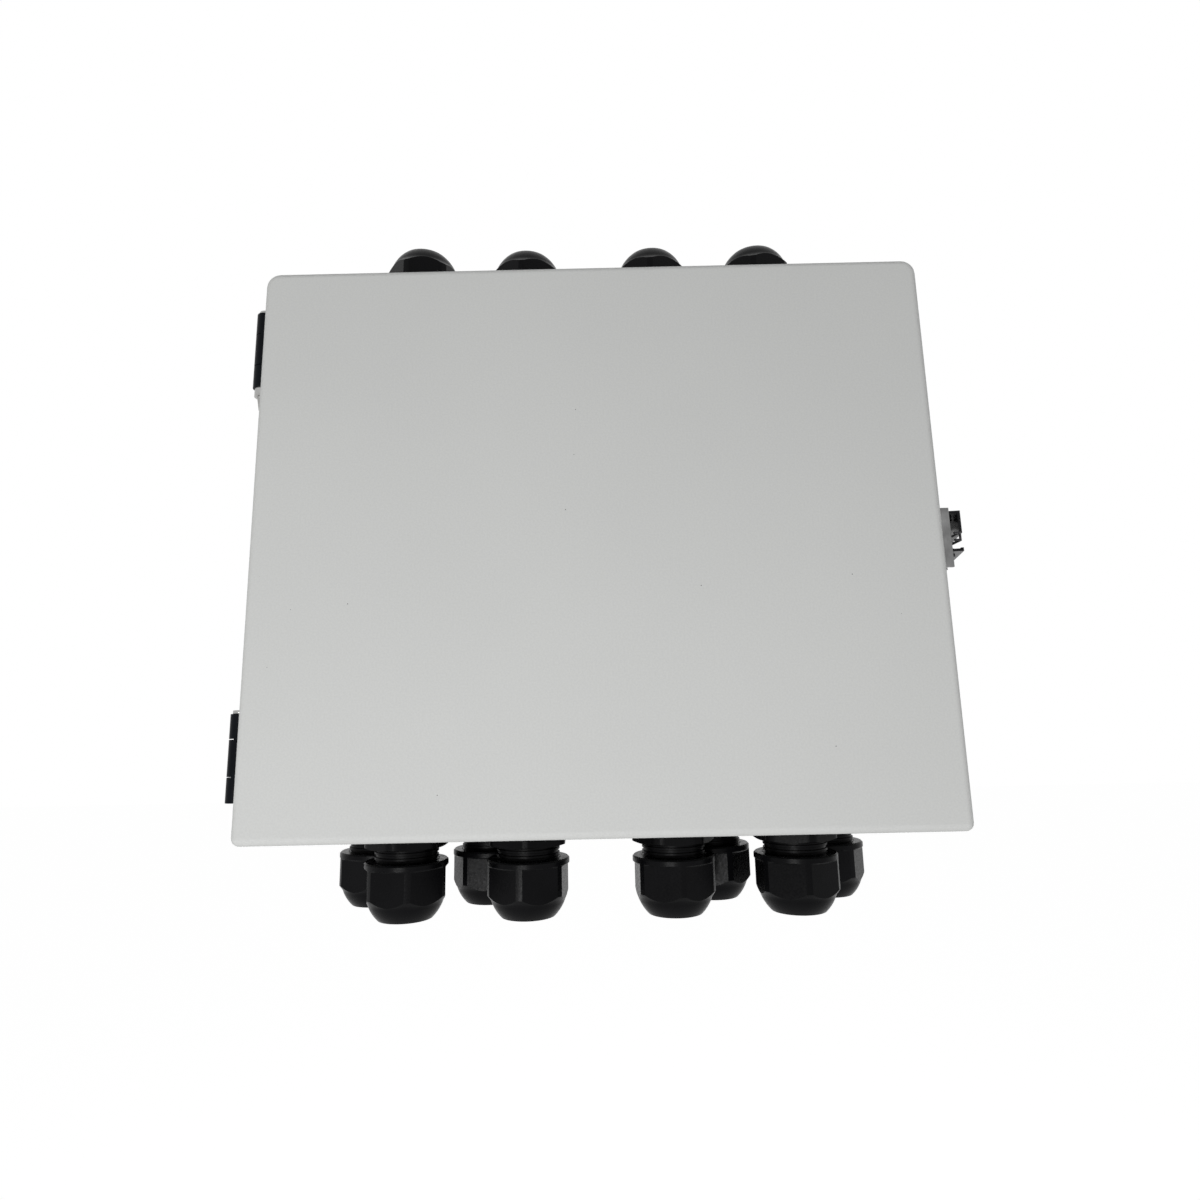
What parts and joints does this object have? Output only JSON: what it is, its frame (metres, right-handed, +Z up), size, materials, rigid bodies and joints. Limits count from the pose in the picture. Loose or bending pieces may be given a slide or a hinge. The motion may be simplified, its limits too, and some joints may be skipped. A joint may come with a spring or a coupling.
{
  "type": "dc combiner box",
  "caption": "Wall-mounted steel box with a hinged lid and side latch that joins solar string cables, entering by glands, onto fused busbars",
  "frame": {"origin": "middle of the box's back face, where it meets the wall", "axes": "+X to the right seen from the front, +Y into the wall, +Z up; the door faces -Y"},
  "size_m": [0.3224, 0.11, 0.3194],
  "materials": {
    "tub_paint": "fine textured light grey powder coat",
    "door_paint": "fine textured light grey powder coat",
    "seal_foam": "closed-cell black foam",
    "hinge_black": "satin black enamel on zinc casting",
    "hinge_pin_steel": "bright steel pin",
    "rivet_steel": "set steel rivets",
    "latch_black": "glossy black enamel",
    "latch_steel": "bright nickel plated steel",
    "zinc_plate": "zinc plated sheet",
    "copper": "tinned edges, bare copper faces",
    "insulator_red": "moulded polyester, dark red",
    "fuse_grey": "ceramic-like pale fuse housing",
    "tag_tin": "tinned copper tags",
    "bolt_steel": "zinc plated steel",
    "nut_steel": "zinc plated steel",
    "washer_steel": "zinc plated steel",
    "stud_steel": "welded steel studs",
    "guard_clear": "clear polycarbonate sheet",
    "pillar_brass": "nickel plated brass pillars",
    "earth_brass": "brass earth stud and nuts",
    "gland_nylon": "black nylon, slightly glossy",
    "gland_nut_nylon": "black nylon, slightly glossy",
    "gland_rubber": "black rubber"
  },
  "bodies": {
    "enclosure": {"body_tub": "tub_paint", "hinge_upper_body_leaf": "hinge_black", "hinge_upper_pin": "hinge_pin_steel", "hinge_lower_body_leaf": "hinge_black", "hinge_lower_pin": "hinge_pin_steel", "hinge_body_rivets": "rivet_steel", "latch_base": "latch_steel", "latch_base_rivets": "rivet_steel", "latch_pivot_rivets": "latch_steel", "mounting_plate": "zinc_plate", "mounting_plate_studs": "stud_steel", "mounting_plate_nuts": "nut_steel", "busbar_insulators": "insulator_red", "string_insulators": "insulator_red", "insulator_base_screws": "bolt_steel", "busbar_screws": "bolt_steel", "busbar_positive": "copper", "busbar_negative": "copper", "string_terminal_pads": "copper", "fuse_tags": "tag_tin", "string_fuses": "fuse_grey", "string_terminal_bolts": "bolt_steel", "busbar_terminal_bolts": "bolt_steel", "busbar_terminal_nuts": "nut_steel", "terminal_washers": "washer_steel", "touch_guard": "guard_clear", "guard_pillars": "pillar_brass", "guard_screws": "bolt_steel", "earth_stud": "earth_brass", "earth_nuts": "earth_brass", "gland_bodies_top": "gland_nylon", "gland_bodies_bottom": "gland_nylon", "gland_seals": "gland_rubber", "gland_locknuts": "gland_nylon", "gland_washers": "gland_rubber"},
    "door": {"door": "door_paint", "door_gasket": "seal_foam", "hinge_upper_door_leaf": "hinge_black", "hinge_lower_door_leaf": "hinge_black", "hinge_door_rivets": "rivet_steel", "latch_keeper": "latch_steel", "latch_keeper_rivets": "rivet_steel", "door_earth_stud": "earth_brass"},
    "latch_lever": {"latch_lever": "latch_black", "latch_claw_pin": "latch_steel"},
    "latch_claw": {"latch_claw": "latch_steel"},
    "nut_top_left_outer": {"gland_nut_top_left_outer": "gland_nut_nylon"},
    "nut_top_left_inner": {"gland_nut_top_left_inner": "gland_nut_nylon"},
    "nut_top_right_inner": {"gland_nut_top_right_inner": "gland_nut_nylon"},
    "nut_top_right_outer": {"gland_nut_top_right_outer": "gland_nut_nylon"},
    "nut_front_left_outer": {"gland_nut_front_left_outer": "gland_nut_nylon"},
    "nut_front_left_inner": {"gland_nut_front_left_inner": "gland_nut_nylon"},
    "nut_front_right_inner": {"gland_nut_front_right_inner": "gland_nut_nylon"},
    "nut_front_right_outer": {"gland_nut_front_right_outer": "gland_nut_nylon"},
    "nut_back_left_outer": {"gland_nut_back_left_outer": "gland_nut_nylon"},
    "nut_back_left_inner": {"gland_nut_back_left_inner": "gland_nut_nylon"},
    "nut_back_right_inner": {"gland_nut_back_right_inner": "gland_nut_nylon"},
    "nut_back_right_outer": {"gland_nut_back_right_outer": "gland_nut_nylon"}
  },
  "joints": [
    {"name": "door_hinge", "type": "hinge", "parent": "enclosure", "child": "door", "pos_m": [-0.15015, -0.095, 0], "axis": [0, 0, -1], "range_deg": [0, 130]},
    {"name": "latch_lever_pivot", "type": "hinge", "parent": "enclosure", "child": "latch_lever", "pos_m": [0.155, -0.09, 0], "axis": [0, 0, -1], "range_deg": [-7, 60]},
    {"name": "latch_claw_pivot", "type": "hinge", "parent": "latch_lever", "child": "latch_claw", "pos_m": [0.15339, -0.08174, 0], "axis": [0, 0, -1], "range_deg": [-90, 10.5]},
    {"name": "gland_nut_turn_top_left_outer", "type": "hinge", "parent": "enclosure", "child": "nut_top_left_outer", "pos_m": [-0.0857, -0.0625, 0.136], "axis": [0, 0, 1], "range_deg": [0, 360]},
    {"name": "gland_nut_turn_top_left_inner", "type": "hinge", "parent": "enclosure", "child": "nut_top_left_inner", "pos_m": [-0.0327, -0.0625, 0.136], "axis": [0, 0, 1], "range_deg": [0, 360]},
    {"name": "gland_nut_turn_top_right_inner", "type": "hinge", "parent": "enclosure", "child": "nut_top_right_inner", "pos_m": [0.0307, -0.0625, 0.136], "axis": [0, 0, 1], "range_deg": [0, 360]},
    {"name": "gland_nut_turn_top_right_outer", "type": "hinge", "parent": "enclosure", "child": "nut_top_right_outer", "pos_m": [0.0837, -0.0625, 0.136], "axis": [0, 0, 1], "range_deg": [0, 360]},
    {"name": "gland_nut_turn_front_left_outer", "type": "hinge", "parent": "enclosure", "child": "nut_front_left_outer", "pos_m": [-0.0877, -0.0625, -0.136], "axis": [0, 0, -1], "range_deg": [0, 360]},
    {"name": "gland_nut_turn_front_left_inner", "type": "hinge", "parent": "enclosure", "child": "nut_front_left_inner", "pos_m": [-0.0334, -0.0625, -0.136], "axis": [0, 0, -1], "range_deg": [0, 360]},
    {"name": "gland_nut_turn_front_right_inner", "type": "hinge", "parent": "enclosure", "child": "nut_front_right_inner", "pos_m": [0.0314, -0.0625, -0.136], "axis": [0, 0, -1], "range_deg": [0, 360]},
    {"name": "gland_nut_turn_front_right_outer", "type": "hinge", "parent": "enclosure", "child": "nut_front_right_outer", "pos_m": [0.0857, -0.0625, -0.136], "axis": [0, 0, -1], "range_deg": [0, 360]},
    {"name": "gland_nut_turn_back_left_outer", "type": "hinge", "parent": "enclosure", "child": "nut_back_left_outer", "pos_m": [-0.1096, -0.0305, -0.136], "axis": [0, 0, -1], "range_deg": [0, 360]},
    {"name": "gland_nut_turn_back_left_inner", "type": "hinge", "parent": "enclosure", "child": "nut_back_left_inner", "pos_m": [-0.0546, -0.0305, -0.136], "axis": [0, 0, -1], "range_deg": [0, 360]},
    {"name": "gland_nut_turn_back_right_inner", "type": "hinge", "parent": "enclosure", "child": "nut_back_right_inner", "pos_m": [0.0526, -0.0305, -0.136], "axis": [0, 0, -1], "range_deg": [0, 360]},
    {"name": "gland_nut_turn_back_right_outer", "type": "hinge", "parent": "enclosure", "child": "nut_back_right_outer", "pos_m": [0.1076, -0.0305, -0.136], "axis": [0, 0, -1], "range_deg": [0, 360]}
  ],
  "couplings": [
    {"joint": "latch_claw_pivot", "follows": "latch_lever_pivot", "ratio": -1.5}
  ]
}
